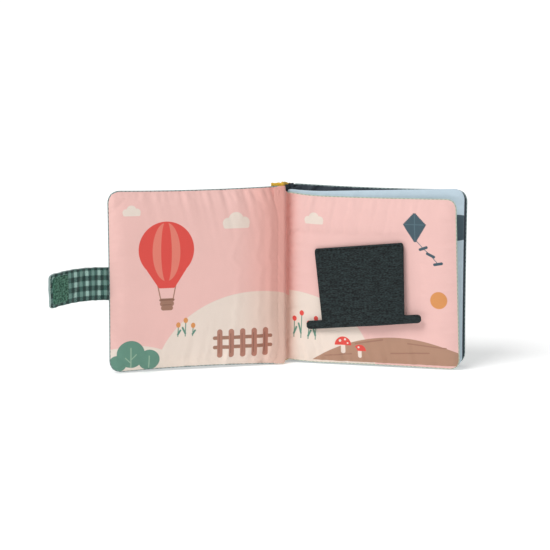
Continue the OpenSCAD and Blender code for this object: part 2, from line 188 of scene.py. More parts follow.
# %% From arrays to a mesh
def make_mesh(name, points, faces, materials, material_of=None, page=None):
    """A smooth mesh object at the origin from points (n, 3) in mm and faces as rows of point numbers."""
    mesh = bpy.data.meshes.new(name)
    mesh.from_pydata((np.asarray(points, float).reshape(-1, 3) * MM).tolist(), [], np.asarray(faces).tolist())
    for material in materials:
        mesh.materials.append(material)
    if material_of is not None:
        mesh.polygons.foreach_set("material_index", np.asarray(material_of, np.int32))
    if page is not None:
        attribute = mesh.attributes.new("page", "FLOAT_VECTOR", "POINT")
        attribute.data.foreach_set("vector", np.asarray(page, np.float32).ravel())
    mesh.shade_smooth()
    piece = bpy.data.objects.new(name, mesh)
    bpy.context.scene.collection.objects.link(piece)
    return piece


def shell(name, front, behind, materials, page, page_behind=None, keep=None, edge=False):
    """A closed piece from two grids of points (rows, cols, 3) that meet at their rim. keep marks the cells that
    exist. A point with four kept cells round it is inside; the others lie on the rim and serve both grids. The
    materials are for the front, the back and, if edge is set, the outermost cells of both."""
    rows, cols = front.shape[:2]
    keep = np.ones((rows - 1, cols - 1), bool) if keep is None else keep
    around = np.pad(keep, 1).astype(int)
    around = around[1:, 1:] + around[:-1, 1:] + around[1:, :-1] + around[:-1, :-1]
    used, inside = around.ravel() > 0, around.ravel() == 4
    near = np.cumsum(used) - 1
    far = np.where(inside, used.sum() + np.cumsum(inside) - 1, near)
    corner = (np.arange(rows - 1)[:, None] * cols + np.arange(cols - 1))[keep]
    cells = np.stack([corner, corner + 1, corner + cols + 1, corner + cols], axis=1)
    flat = lambda grid: grid.reshape(-1, 3)
    points = np.concatenate([flat(front)[used], flat(behind)[inside]])
    shown = np.concatenate([flat(page)[used], flat(page if page_behind is None else page_behind)[inside]])
    at_rim = (~inside)[cells].any(axis=1) & edge
    which = np.concatenate([np.where(at_rim, 2, 0), np.where(at_rim, 2, 1)])
    return make_mesh(name, points, np.concatenate([near[cells], far[cells][:, ::-1]]), materials, which, shown)


def smooth(piece, levels=1):
    """Subdivision Surface with the same level in the viewport and the render."""
    modifier = piece.modifiers.new("smooth", "SUBSURF")
    modifier.levels = modifier.render_levels = levels


# %% [markdown]
# A cloth's colour is more than one flat tint. These helpers write shader nodes in one line each: a value that
# comes from another node is linked, and a plain number is typed into the socket.

# %% Short words for shader nodes
def node(tree, kind, *values, **settings):
    """A new node: settings are its menus, values go to its sockets in order, None leaves one alone."""
    made = tree.nodes.new("ShaderNode" + kind)
    for key, value in settings.items():
        setattr(made, key, value)
    for socket, value in zip(made.inputs, values):
        if isinstance(value, bpy.types.NodeSocket):
            tree.links.new(value, socket)
        elif value is not None:
            socket.default_value = value
    return made


def calc(tree, operation, *values, clamp=False):
    """A number that a Math node works out."""
    return node(tree, "Math", *values, operation=operation, use_clamp=clamp).outputs[0]


def vector(tree, operation, *values):
    """What a Vector Math node works out: a number for a dot product, length or distance, else a vector."""
    made = node(tree, "VectorMath", *values, operation=operation)
    return made.outputs["Value" if operation in ("DOT_PRODUCT", "LENGTH", "DISTANCE") else "Vector"]


def mix(tree, amount, first, second):
    """Colour first where amount is 0 and second where it is 1."""
    made = tree.nodes.new("ShaderNodeMix")
    made.data_type = "RGBA"
    for number, value in ((0, amount), (6, first), (7, second)):
        if isinstance(value, bpy.types.NodeSocket):
            tree.links.new(value, made.inputs[number])
        else:
            made.inputs[number].default_value = value
    return made.outputs[2]


def place(tree, group, **values):
    """A node group in a material, with its inputs set or linked by name."""
    made = tree.nodes.new("ShaderNodeGroup")
    made.node_tree = group
    for name, value in values.items():
        socket = made.inputs[name]
        if isinstance(value, bpy.types.NodeSocket):
            tree.links.new(value, socket)
        else:
            socket.default_value = value
    return made


def new_group(name, inputs, outputs):
    """An empty node group with named sockets: inputs and outputs are {name: (type, default)}."""
    tree = bpy.data.node_groups.new(name, "ShaderNodeTree")
    for side, sockets in (("INPUT", inputs), ("OUTPUT", outputs)):
        for label, (kind, default) in sockets.items():
            socket = tree.interface.new_socket(label, in_out=side, socket_type="NodeSocket" + kind)
            if default is not None:
                socket.default_value = default
    return tree, tree.nodes.new("NodeGroupInput").outputs, tree.nodes.new("NodeGroupOutput").inputs


def tint(hex_code):
    """An sRGB colour such as F2CBC4 as the linear numbers that shaders use."""
    parts = [int(hex_code[i : i + 2], 16) / 255 for i in (0, 2, 4)]
    return (*[c / 12.92 if c <= 0.04045 else ((c + 0.055) / 1.055) ** 2.4 for c in parts], 1)


# %% [markdown]
# Two masks draw every picture in the book: a filled ellipse, and a bar with round ends. Both measure how far a
# point is from the shape's edge in millimetres, and turn that into 1 inside and 0 outside, over a third of a
# millimetre, which is how ink looks at the edge of a cotton print.

# %% Node groups for the print
INK_EDGE = 0.35
ELLIPSE, given, result = new_group(
    "Ellipse mask",
    {"Page": ("Vector", None), "Middle": ("Vector", (0, 0, 0)), "Radii": ("Vector", (10, 10, 1))},
    {"Mask": ("Float", None)},
)
ratio = vector(ELLIPSE, "DIVIDE", vector(ELLIPSE, "SUBTRACT", given["Page"], given["Middle"]), given["Radii"])
ratio_length = vector(ELLIPSE, "LENGTH", ratio)
gradient = vector(ELLIPSE, "LENGTH", vector(ELLIPSE, "DIVIDE", ratio, given["Radii"]))
gap = calc(ELLIPSE, "DIVIDE", calc(ELLIPSE, "SUBTRACT", ratio_length, 1), calc(ELLIPSE, "MAXIMUM", gradient, 1e-4))
inside = calc(ELLIPSE, "MULTIPLY_ADD", gap, -1 / INK_EDGE, 0.5, clamp=True)
ELLIPSE.links.new(inside, result["Mask"])

BAR, given, result = new_group(
    "Bar mask",
    {"Page": ("Vector", None), "From": ("Vector", (0, 0, 0)), "To": ("Vector", (10, 0, 0)), "Radius": ("Float", 1.0)},
    {"Mask": ("Float", None)},
)
from_start = vector(BAR, "SUBTRACT", given["Page"], given["From"])
whole = vector(BAR, "SUBTRACT", given["To"], given["From"])
share = calc(
    BAR, "DIVIDE", vector(BAR, "DOT_PRODUCT", from_start, whole), vector(BAR, "DOT_PRODUCT", whole, whole), clamp=True
)
scaled = node(BAR, "VectorMath", whole, operation="SCALE")
BAR.links.new(share, scaled.inputs["Scale"])
gap = calc(BAR, "SUBTRACT", vector(BAR, "DISTANCE", from_start, scaled.outputs[0]), given["Radius"])
inside = calc(BAR, "MULTIPLY_ADD", gap, -1 / INK_EDGE, 0.5, clamp=True)
BAR.links.new(inside, result["Mask"])
print("print masks:", ELLIPSE.name, "and", BAR.name)

# %% [markdown]
# Every cloth here is woven, so one group makes a plain weave: threads go over and under each other like a
# chessboard. Its height goes to a bump, and its crossings tell which of two threads is on top. A second group
# gives the slow unevenness of dyed cloth that has been handled.

# %% Node groups for the cloth
WEAVE, given, result = new_group(
    "Plain weave",
    {"Page": ("Vector", None), "Pitch": ("Float", 0.6)},
    {"Height": ("Float", None), "Warp on top": ("Float", None)},
)
axes = node(WEAVE, "SeparateXYZ", given["Page"]).outputs
step = calc(WEAVE, "DIVIDE", math.pi, given["Pitch"])
wave_x = calc(WEAVE, "SINE", calc(WEAVE, "MULTIPLY", axes[0], step))
wave_z = calc(WEAVE, "SINE", calc(WEAVE, "MULTIPLY", axes[1], step))
over = calc(WEAVE, "MULTIPLY", wave_x, wave_z)
WEAVE.links.new(calc(WEAVE, "ABSOLUTE", over), result["Height"])
WEAVE.links.new(calc(WEAVE, "MULTIPLY_ADD", over, 4, 0.5, clamp=True), result["Warp on top"])

HANDLED, given, result = new_group(
    "Handled cloth",
    {"Page": ("Vector", None), "Color": ("Color", (1, 1, 1, 1)), "Amount": ("Float", 0.06)},
    {"Color": ("Color", None), "Roughness": ("Float", None)},
)
clouds = node(HANDLED, "TexNoise", given["Page"], noise_dimensions="3D")
clouds.inputs["Scale"].default_value, clouds.inputs["Detail"].default_value = 0.045, 3
grains = node(HANDLED, "TexNoise", given["Page"], noise_dimensions="3D")
grains.inputs["Scale"].default_value, grains.inputs["Detail"].default_value = 1.1, 2
both = calc(HANDLED, "ADD", clouds.outputs[0], calc(HANDLED, "MULTIPLY", grains.outputs[0], 0.7))
level = calc(HANDLED, "MULTIPLY_ADD", calc(HANDLED, "SUBTRACT", both, 0.85), given["Amount"], 1)
scaled = node(HANDLED, "VectorMath", given["Color"], operation="SCALE")
HANDLED.links.new(level, scaled.inputs["Scale"])
HANDLED.links.new(scaled.outputs[0], result["Color"])
HANDLED.links.new(calc(HANDLED, "MULTIPLY_ADD", clouds.outputs[0], 0.12, 0.76), result["Roughness"])
print("cloth groups:", WEAVE.name, "and", HANDLED.name)


# %% [markdown]
# A cloth material has the same build each time: a colour made by a function, the handled look over it, and the
# weave as a small bump. Numbers that are the same all over, such as the sheen, are typed straight into the
# shader, where every program that reads the model can find them.

# %% One maker for cloth materials
def cloth(name, colour_of, pitch=0.55, bump=0.25, amount=0.07, sheen=0.25, height_of=None):
    """A woven or felted material. colour_of(tree, page) gives a colour, height_of(tree, page) its own relief."""
    material = bpy.data.materials.new(name)
    material.use_nodes = True
    tree = material.node_tree
    shader = tree.nodes["Principled BSDF"]
    page = node(tree, "Attribute", attribute_name="page").outputs["Vector"]
    colour = colour_of(tree, page)
    handled = place(tree, HANDLED, Page=page, Color=colour, Amount=amount)
    tree.links.new(handled.outputs["Color"], shader.inputs["Base Color"])
    tree.links.new(handled.outputs["Roughness"], shader.inputs["Roughness"])
    height = height_of(tree, page) if height_of else place(tree, WEAVE, Page=page, Pitch=pitch).outputs["Height"]
    relief = node(tree, "Bump")
    relief.inputs["Strength"].default_value, relief.inputs["Distance"].default_value = bump, 0.0003
    tree.links.new(height, relief.inputs["Height"])
    tree.links.new(relief.outputs[0], shader.inputs["Normal"])
    shader.inputs["Sheen Weight"].default_value, shader.inputs["Sheen Roughness"].default_value = sheen, 0.5
    shader.inputs["Specular IOR Level"].default_value = 0.25
    material.diffuse_color = (0.6, 0.5, 0.45, 1)
    return material


def ellipse(x, z, rx, rz=None):
    """A print shape: an ellipse, or a circle if it has one radius."""
    return (ELLIPSE, {"Middle": (x, z, 0), "Radii": (rx, rz or rx, 1)})


def bar(x0, z0, x1, z1, radius):
    """A print shape: a bar with round ends."""
    return (BAR, {"From": (x0, z0, 0), "To": (x1, z1, 0), "Radius": radius})


def printed(ground, *layers, painted_gutter_shade=None):
    """colour_of for a printed page: each layer is (colour, shapes, holes), painted in order over the ground. The
    keyword argument is (colour, x from, x to) for painted shade: a darker, warmer tint multiplied in towards the
    gutter end, where the two pages shade each other and bounce pink light."""

    def colour_of(tree, page):
        flat = vector(tree, "MULTIPLY", page, (1, 1, 0))

        def union(shapes):
            mask = None
            for group, values in shapes:
                new = place(tree, group, Page=flat, **values).outputs["Mask"]
                mask = new if mask is None else calc(tree, "MAXIMUM", mask, new)
            return mask

        colour = tint(ground)
        for ink, shapes, *holes in layers:
            mask = union(shapes)
            if holes:
                mask = calc(tree, "MULTIPLY", mask, calc(tree, "SUBTRACT", 1, union(holes[0])))
            colour = mix(tree, mask, colour, tint(ink))
        # Painted shade: near the gutter the colour is multiplied by the darker, warmer tint, in place of the shade
        # and pink bounce light between the pages.
        if painted_gutter_shade:
            across = node(tree, "SeparateXYZ", page).outputs[0]
            near = node(tree, "MapRange", across, *painted_gutter_shade[1:], 0.0, 1.0, interpolation_type="SMOOTHSTEP")
            shade = mix(tree, near.outputs[0], (1, 1, 1, 1), tint(painted_gutter_shade[0]))
            colour = node(tree, "VectorMath", colour, shade, operation="MULTIPLY").outputs[0]
        return colour

    return colour_of


# %% [markdown]
# The left page shows hills, bushes, a fence and a balloon in the sky. Each is a few ellipses and bars. The order
# matters as on a screen print: far things first, near things over them. Thin lighter and darker marks inside
# a shape give it the hand-drawn look of the real prints.

# %% The picture on the left page
def cloud(x, z, s):
    """Three round puffs on a flat foot."""
    puffs = ((-0.55, -0.1, 0.36), (0, 0.12, 0.5), (0.55, -0.08, 0.38))
    foot = bar(x - 0.7 * s, z - 0.3 * s, x + 0.75 * s, z - 0.3 * s, 0.16 * s)
    return [*[ellipse(x + s * dx, z + s * dz, s * r) for dx, dz, r in puffs], foot]


def flowers(x, z, heights):
    """Stems with a leaf, and their heads, side by side: two lists of shapes."""
    steps = [(x + 7 * i, z, h) for i, h in enumerate(heights)]
    stems = [bar(x, z, x + 0.6, z + h, 0.45) for x, z, h in steps]
    leaves = [bar(x, z + h * 0.2, x + 2.4 * (-1) ** i, z + h * 0.6, 0.9) for i, (x, z, h) in enumerate(steps)]
    return stems + leaves, [ellipse(x + 0.6, z + h + 1.6, 2.1, 2.5) for x, z, h in steps]


far_stems, far_heads = flowers(64, 33, (9, 13, 8))
bushes = [ellipse(20, 18, 13), ellipse(37, 12, 10), ellipse(8, 9, 8)]
twigs = [bar(20, 6, 20, 24, 0.6), bar(20, 13, 25, 18, 0.5), bar(20, 10, 15, 15, 0.5), bar(37, 4, 37, 16, 0.5)]
balloon = [ellipse(54, 114, 26), *[bar(54 + 17 * t, 96, 54 + 6.4 * t, 80, 1.6) for t in np.linspace(-1, 1, 9)]]
ropes = [bar(42, 98, 48, 69, 0.5), bar(66, 98, 60, 69, 0.5)]
basket = [bar(48.5, 67.5, 59.5, 67.5, 1.5), bar(50.5, 60, 57.5, 60, 2.2), bar(50, 64, 58, 64, 2.6)]
posts = [bar(x, 13, x, 35, 2.6) for x in range(104, 149, 11)]
rails = [bar(99, 13 + share * 22, 153, 13 + share * 22, 1.7) for share in (0.35, 0.75)]
grain = [bar(x - 0.8, 15, x - 0.6, 33, 0.35) for x in range(104, 149, 11)]
LEFT_PRINT = cloth(
    "left page print",
    printed(
        "EDC0B9",
        ("E8DACE", [ellipse(140, -14, 100, 86), ellipse(24, -28, 62, 54), *cloud(120, 138, 14), *cloud(22, 150, 9)]),
        ("A07865", rails),
        ("B07F6E", posts),
        ("8A6454", grain),
        ("64907F", bushes),
        ("92B29A", twigs),
        ("64907F", far_stems),
        ("D8945A", far_heads),
        ("A07865", ropes),
        ("DE5048", balloon),
        ("E48070", [ellipse(54, 112, 13, 27)], [ellipse(54, 112, 5, 29)]),
        ("A07865", basket),
        ("8A6454", [bar(47.5, 67.6, 60.5, 67.6, 0.7), bar(50, 63, 58, 63, 0.4)]),
        # Painted shade: the print darkens towards the gutter, from page x 110 to 172.
        painted_gutter_shade=("F6DCD6", 110.0, 172.0),
    ),
)

# %% [markdown]
# The right page has a kite with a bow tail, a low sun, flowers, and two mushrooms on a brown hill. The kite is a
# stack of bars that grow and shrink, because the two masks know no triangle.

# %% The picture on the right page
near_stems, near_heads = flowers(10, 24, (16, 22, 13, 18))
bows = []
for x, z, degrees in ((136, 114, 20), (143, 108, -25), (150, 100, 10)):
    dx, dz = 3.4 * math.cos(math.radians(degrees)), 3.4 * math.sin(math.radians(degrees))
    bows.append(bar(x - dx, z - dz, x + dx, z + dz, 1.3))
kite = []
for z in np.arange(120.5, 146, 1.2):
    half = max(0.05, 10.4 * (1 - abs(z - 136) / (10.6 if z > 136 else 16.5)))
    kite.append(bar(128 - half, z, 128 + half, z, 0.8))
furrows = [bar(70, 22, 96, 26.5, 0.7), bar(104, 14, 140, 16, 0.7)]
furrows += [bar(120, 24, 156, 21, 0.6), bar(40, 9, 66, 12, 0.6)]
mushroom_caps = [ellipse(58, 20, 8), ellipse(74, 15, 6)]
under_caps = [bar(40, 14, 66, 14, 6), bar(66.5, 10.2, 90, 10.2, 4.8)]
cap_spots = [ellipse(55, 24, 1.2), ellipse(60, 25.4, 1), ellipse(62.5, 22, 0.8), ellipse(73, 18.5, 0.9)]
RIGHT_PRINT = cloth(
    "right page print",
    printed(
        "EBC0BA",
        ("E8DACE", [ellipse(10, -16, 80, 84), *cloud(30, 138, 10)]),
        ("B08A74", [ellipse(108, -72, 122, 101)], [bar(-30, -16, 200, -16, 20)]),
        ("A07865", furrows),
        ("64907F", near_stems),
        ("DE5048", near_heads),
        ("D8945A", [ellipse(150, 66, 8)]),
        ("57707A", [bar(128, 122, 136, 114, 0.35), bar(136, 114, 143, 108, 0.35), bar(143, 108, 150, 100, 0.35)]),
        ("455A64", [*kite, *bows]),
        ("57707A", [bar(128, 121, 128, 145, 0.4), bar(119, 136, 137, 136, 0.4)]),
        ("E8DACE", [bar(58, 14, 58, 21, 2.2), bar(74, 10, 74, 16, 1.8)]),
        ("DE5048", mushroom_caps, under_caps),
        ("E8DACE", cap_spots),
        # Painted shade: the print darkens towards the gutter, from page x 18 to 2.
        painted_gutter_shade=("F6DCD6", 18.0, 2.0),
    ),
)

# %% The plainer pages behind
REAR_PRINT = cloth(
    "rear page print",
    printed(
        "C3D5E1",
        ("D6E2EA", [*cloud(40, 130, 20), *cloud(120, 70, 18)]),
        ("4A5C66", [ellipse(160, 130, 22, 12)]),
    ),
)
SAGE_PAGE = cloth("pale sage page", printed("BCC8B6", ("CBD4C4", [*cloud(60, 120, 22), *cloud(120, 60, 16)])))
SLATE_PAGE = cloth("slate blue page", printed("8FA3B5", ("A7B8C6", [*cloud(50, 50, 20), *cloud(115, 118, 24)])))
NAVY_PAGE = cloth("navy page", lambda tree, page: tint("343D46"), amount=0.25)
CREAM_FOLD = cloth("cream fold", lambda tree, page: tint("E4CFC6"))
print("pages printed:", LEFT_PRINT.name, RIGHT_PRINT.name, REAR_PRINT.name)

# %% [markdown]
# The covers and the strap are a green check. Dyed and undyed threads alternate in bands both ways. Where two
# dark bands cross the cloth is dark, where two light ones cross it is light, and elsewhere the weave decides
# thread by thread. That is how the real cloth makes its middle green, so the shader does the same.

# %% The woven check
CHECK_PERIOD = 9.25


def check_colour(tree, page):
    """A warp and a weft band, each 1 where its threads are light. Their sum picks one of three tones, and the
    weave moves it a little up and down. Every second light warp band is duller."""
    axes = node(tree, "SeparateXYZ", page).outputs

    def band(value, period, shift, sharp, middle):
        wave = calc(tree, "SINE", calc(tree, "MULTIPLY_ADD", value, 2 * math.pi / period, shift))
        return calc(tree, "MULTIPLY_ADD", wave, sharp, middle, clamp=True)

    warp = band(axes[0], CHECK_PERIOD, 4.84, 2.6, 0.5)
    weft = band(axes[1], CHECK_PERIOD, 3.96 + math.pi, 2.6, 0.5)
    on_top = place(tree, WEAVE, Page=page, Pitch=CHECK_PERIOD / 8).outputs["Warp on top"]
    lean = calc(tree, "MULTIPLY_ADD", on_top, 0.42, -0.25)
    level = calc(tree, "MULTIPLY_ADD", calc(tree, "ADD", warp, weft), 0.5, lean)
    light = mix(tree, band(axes[0], 2 * CHECK_PERIOD, 0.08, 0.8, 0.5), tint("B6DED4"), tint("7CA89D"))
    dim = mix(tree, calc(tree, "MULTIPLY", level, 2, clamp=True), tint("0C2F2B"), tint("2A5D56"))
    return mix(tree, calc(tree, "MULTIPLY_ADD", level, 2, -1, clamp=True), dim, light)


CHECK_CLOTH = cloth("check cloth", check_colour, pitch=CHECK_PERIOD / 8, bump=0.6, amount=0.12)
EDGE_CLOTH = cloth("grey green edge", lambda tree, page: tint("8CA09E"), pitch=0.77, bump=0.5, amount=0.35)
MUSTARD = cloth("mustard cotton", lambda tree, page: tint("E2B43C"), pitch=0.7, bump=0.5, amount=0.1)
print("check period, mm:", CHECK_PERIOD)


# %% [markdown]
# Felt has no threads: it is a mat of short fibres. Noise that is stretched sideways gives the faint flecks of
# the real one, which was pressed in one direction. The hook and loop tape is mottled, so it gets a dense noise.

# %% Felt, tape and thread
def flecks(tree, page, stretch, scale):
    """Noise that is longer along x than along z."""
    wide = vector(tree, "MULTIPLY", page, stretch)
    made = node(tree, "TexNoise", wide, noise_dimensions="3D")
    made.inputs["Scale"].default_value, made.inputs["Detail"].default_value = scale, 4
    return made.outputs[0]


def felt_colour(tree, page):
    """Fine flecks over faint streaks: both noises only lean the colour, so no fleck has a hard edge."""
    fine = calc(tree, "MULTIPLY", flecks(tree, page, (0.4, 1.0, 1), 1.1), 4.8)
    slow = calc(tree, "MULTIPLY", flecks(tree, page, (0.25, 1.0, 1), 0.4), 2.4)
    amount = calc(tree, "MULTIPLY_ADD", calc(tree, "ADD", fine, slow), 0.62, -1.78, clamp=True)
    return mix(tree, amount, tint("090E10"), tint("2C393A"))


def tape_colour(tree, page):
    """Light and dark lumps, one for each tuft of yarn."""
    lumps = calc(tree, "MULTIPLY_ADD", flecks(tree, page, (1, 1, 1), 0.55), 5, -2.1, clamp=True)
    return mix(tree, lumps, tint("1D493A"), tint("588B76"))


fibres = lambda tree, page: flecks(tree, page, (0.6, 1.2, 1), 2.2)
loops = lambda tree, page: flecks(tree, page, (1, 1, 1), 1.6)
FELT = cloth("dark green felt", felt_colour, bump=0.8, amount=0.1, sheen=0.08, height_of=fibres)
TAPE = cloth("green hook tape", tape_colour, bump=1.0, amount=0.2, sheen=0.1, height_of=loops)
DARK_THREAD = cloth("dark thread", lambda tree, page: tint("07090A"), pitch=0.3, bump=0.4, sheen=0.0)
SLATE_THREAD = cloth("slate thread", lambda tree, page: tint("5A6E6E"), pitch=0.3, bump=0.4)
YELLOW_THREAD = cloth("yellow thread", lambda tree, page: tint("F0C95A"), pitch=0.3, bump=0.4)
SAGE_THREAD = cloth("sage thread", lambda tree, page: tint("9DAC9A"), pitch=0.3, bump=0.4)
GREEN_THREAD = cloth("green thread", lambda tree, page: tint("7FAF95"), pitch=0.3, bump=0.4)
print("materials:", len(bpy.data.materials))


# %% [markdown]
# A panel is one closed cushion: two grids that share their rim. The outer cloth turns over the rim by a little
# more than a millimetre, which gives each page its thin edge line.

# %% Build the four cushions
COUNT, EDGE_LINE = 84, 1.2


def cushion(name, panel, front, behind, edge, seeds, strength, mirrored=False):
    """Both faces of a panel as one closed mesh. seeds and strength are for the gathers in front and behind."""
    inner = 1 - EDGE_LINE / ((panel.width - panel.start) / 2)
    axis = np.concatenate([[-1], np.linspace(-inner, inner, COUNT - 2), [1]])
    b, a = np.meshgrid(axis, axis, indexing="ij")
    faces = [
        on_table(panel_surface(panel, a, b, way, gathers(panel, a, b, seed, **much)), panel.place, panel.angle)
        for way, seed, much in zip((-1, 1), seeds, strength)
    ]
    x, z, _ = flat_point(panel, a, b)
    page = np.stack([panel.width - x if mirrored else x, z, 0 * z], axis=-1)
    return shell(name, *faces, [front, behind, edge], page, page + [0, 0, 40], edge=True)


EVEN = dict(top=0.6, bottom=0.6)
PUCKERED = dict(top=1.9, bottom=1.9, spine=0.3, creases=((15, 0.75, 1.2), (26, 0.45, 2.5), (47, 0.3, 4)))
front_cover = cushion(
    "front_cover_pad", FRONT_COVER, CHECK_CLOTH, LEFT_PRINT, EDGE_CLOTH, (11, 21), (EVEN, PUCKERED), True
)
back_cover = cushion(
    "back_cover_pad", BACK_COVER, NAVY_PAGE, CHECK_CLOTH, EDGE_CLOTH, (31, 41), (dict(top=3.0), EVEN)
)
front_leaf = cushion(
    "front_leaf_pad", FRONT_LEAF, RIGHT_PRINT, SAGE_PAGE, SAGE_PAGE, (51, 61), (dict(top=1.0, bottom=1.4), EVEN)
)
rear_leaf = cushion("rear_leaf_pad", REAR_LEAF, REAR_PRINT, SLATE_PAGE, REAR_PRINT, (71, 81), (EVEN, EVEN))
print("cushion points:", [len(p.data.vertices) for p in (front_cover, back_cover, front_leaf, rear_leaf)])

# %% [markdown]
# Wadding pushes both faces of a cushion apart, and the cloth buckles between its seams. A formula can't find those
# folds, so Blender's cloth solver does: it presses from inside while the rim stays pinned, and its result becomes
# the mesh. The felt flap holds the page under it flat.

# %% Fill the cushions
FRAMES, ENLARGED, PRESSURE, GROWTH, STIFFNESS, PINNED_RIM = 16, 10, 3.0, 0.012, 0.2, 2.5


def fill(piece, panel, caps, held=None):
    """The cloth solver pushes both faces out from inside and lets the cloth grow by a hundredth, so it buckles
    between its seams. The rim is pinned, and so is what held(x, z) marks on the front. No point moves further than
    its face's cap in millimetres: cap tanh(length / cap). The solver sees the piece enlarged, which suits its
    stiffness."""
    rest = np.empty(len(piece.data.vertices) * 3, np.float32)
    piece.data.vertices.foreach_get("co", rest)
    page = np.empty_like(rest)
    piece.data.attributes["page"].data.foreach_get("vector", page)
    rest, page = rest.reshape(-1, 3), page.reshape(-1, 3)
    x, z, front = page[:, 0], page[:, 1], np.arange(len(rest)) < COUNT**2
    to_rim = np.minimum(np.minimum(x, panel.width - x), np.minimum(z, panel.height - z))
    pinned = (to_rim < PINNED_RIM) | (held(x, z) & front if held else False)
    scratch = bpy.data.objects.new("scratch", piece.data.copy())
    scratch.data.vertices.foreach_set("co", (rest * ENLARGED).ravel())
    bpy.context.scene.collection.objects.link(scratch)
    scratch.vertex_groups.new(name="pinned").add(np.flatnonzero(pinned).tolist(), 1.0, "REPLACE")
    solver = scratch.modifiers.new("fill", "CLOTH")
    solver.settings.vertex_group_mass = "pinned"
    solver.settings.use_pressure, solver.settings.uniform_pressure_force = True, PRESSURE
    solver.settings.shrink_min, solver.settings.bending_stiffness = -GROWTH, STIFFNESS
    solver.settings.effector_weights.gravity = 0
    solver.point_cache.frame_end = FRAMES
    for number in range(1, FRAMES + 1):
        bpy.context.scene.frame_set(number)
    solved = scratch.evaluated_get(bpy.context.evaluated_depsgraph_get()).data
    moved = np.empty(rest.size, np.float32)
    solved.vertices.foreach_get("co", moved)
    move = moved.reshape(-1, 3) / ENLARGED - rest
    length = np.linalg.norm(move, axis=1)
    cap = np.where(front, caps[0], caps[1]) * MM
    soft_cap = cap * np.tanh(length / cap) / np.maximum(length, 1e-9)
    wanted, reached = float(length.max() / MM), float((length * soft_cap).max() / MM)
    piece.data.vertices.foreach_set("co", (rest + move * soft_cap[:, None]).astype(np.float32).ravel())
    piece.data.update()
    bpy.data.objects.remove(scratch)
    bpy.context.scene.frame_set(1)
    print(f"{piece.name} moved by up to {reached:.2f} mm, wanted {wanted:.2f}")


under_flap = lambda x, z: (x > 14) & (x < 134) & (z > 32) & (z < 126)
fill(front_cover, FRONT_COVER, (1.0, 1.8))
fill(back_cover, BACK_COVER, (0.6, 0.6))
fill(front_leaf, FRONT_LEAF, (1.5, 0.4), under_flap)
fill(rear_leaf, REAR_LEAF, (0.4, 0.5))
for piece in (front_cover, back_cover, front_leaf, rear_leaf):
    smooth(piece)
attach(front_cover, "front_cover")
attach(back_cover, "back_cover")
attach(front_leaf, "pages_and_spine")
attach(rear_leaf, "pages_and_spine")
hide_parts("front_cover_cloth", "front_cover_page", "front_cover_wadding")
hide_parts("back_cover_cloth", "back_cover_page", "back_cover_wadding")
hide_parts("pages")
print("filled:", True)

# %% [markdown]
# A seam is held by thread. Each stitch is the same small bar of thread, copied to its place, turned along the
# seam and lifted to lie on the cloth. The covers and leaves are oversewn all round their outer edges.

# %% Stitches
def stitches(name, spots, ways, ups, size, material, body):
    """Bars of thread: four rings of four points each, closed at both ends. size is half the length and the radius.
    spots are their middles, ways run along them and ups point away from the cloth, all on the table."""
    unit = lambda v: v / np.linalg.norm(v, axis=1)[:, None]
    ways = unit(np.asarray(ways, float))
    ups = unit(ups - (ups * ways).sum(axis=1)[:, None] * ways)
    across = np.cross(ways, ups)
    points = []
    for along, share in ((-1, 0.35), (-0.7, 1), (0.7, 1), (1, 0.35)):
        for side, up in ((1, 1), (1, -1), (-1, -1), (-1, 1)):
            bent = up * share * 0.8 - 0.6 * along**2
            points.append(spots + along * size[0] * ways + size[1] * (share * side * across + bent * ups))
    points = np.stack(points, axis=1)
    rings = np.arange(12).reshape(3, 4)
    bars = np.stack([rings, np.roll(rings, -1, 1), np.roll(rings, -1, 1) + 4, rings + 4], axis=-1).reshape(-1, 4)
    bars = np.concatenate([bars, [[3, 2, 1, 0], [12, 13, 14, 15]]])[:, ::-1]
    faces = (np.arange(len(points))[:, None, None] * 16 + bars[None]).reshape(-1, 4)
    local = np.tile(np.linspace(-1, 1, 4).repeat(4) * size[0], len(points))
    page = np.stack([local, np.arange(len(local)) % 4 * 0.4, 0 * local], axis=-1)
    piece = make_mesh(name, points.reshape(-1, 3), faces, [material], page=page)
    smooth(piece)
    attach(piece, body)
    return piece


def sew(line, out, pitch, keep=None):
    """Spots every pitch mm along a line of points, with the line's direction and the outward direction there."""
    line, out = np.asarray(line), np.broadcast_to(out, np.shape(line))
    run = np.concatenate([[0], np.cumsum(np.linalg.norm(np.diff(line, axis=0), axis=1))])
    at = np.arange(pitch / 2, run[-1] - pitch / 2, pitch)
    read = lambda values: np.stack([np.interp(at, run, values[:, i]) for i in range(3)], axis=1)
    return read(line), read(np.gradient(line, axis=0)), read(out)


# %% The stitched rims
def rim_line(panel, way, depth):
    """The line at a given depth inside the rim, from the spine along the foot, the outer side and the top."""
    ring = 1 - depth / ((panel.width - panel.start) / 2)
    run = np.linspace(0, 6, 900)
    a = np.clip(run - 1, -0.93, 1) * (run < 3) + np.clip(5 - run, -0.93, 1) * (run >= 3)
    b = np.clip(run - 3, -1, 1)
    points = panel_surface(panel, a * ring, b * ring, way)
    out = np.zeros_like(points)
    out[:, 1] = way
    line = on_table(points, panel.place, panel.angle)
    fresh = np.concatenate([[True], np.linalg.norm(np.diff(line, axis=0), axis=1) > 1e-4])
    return line[fresh], on_table(out, (0, 0), panel.angle)[fresh]


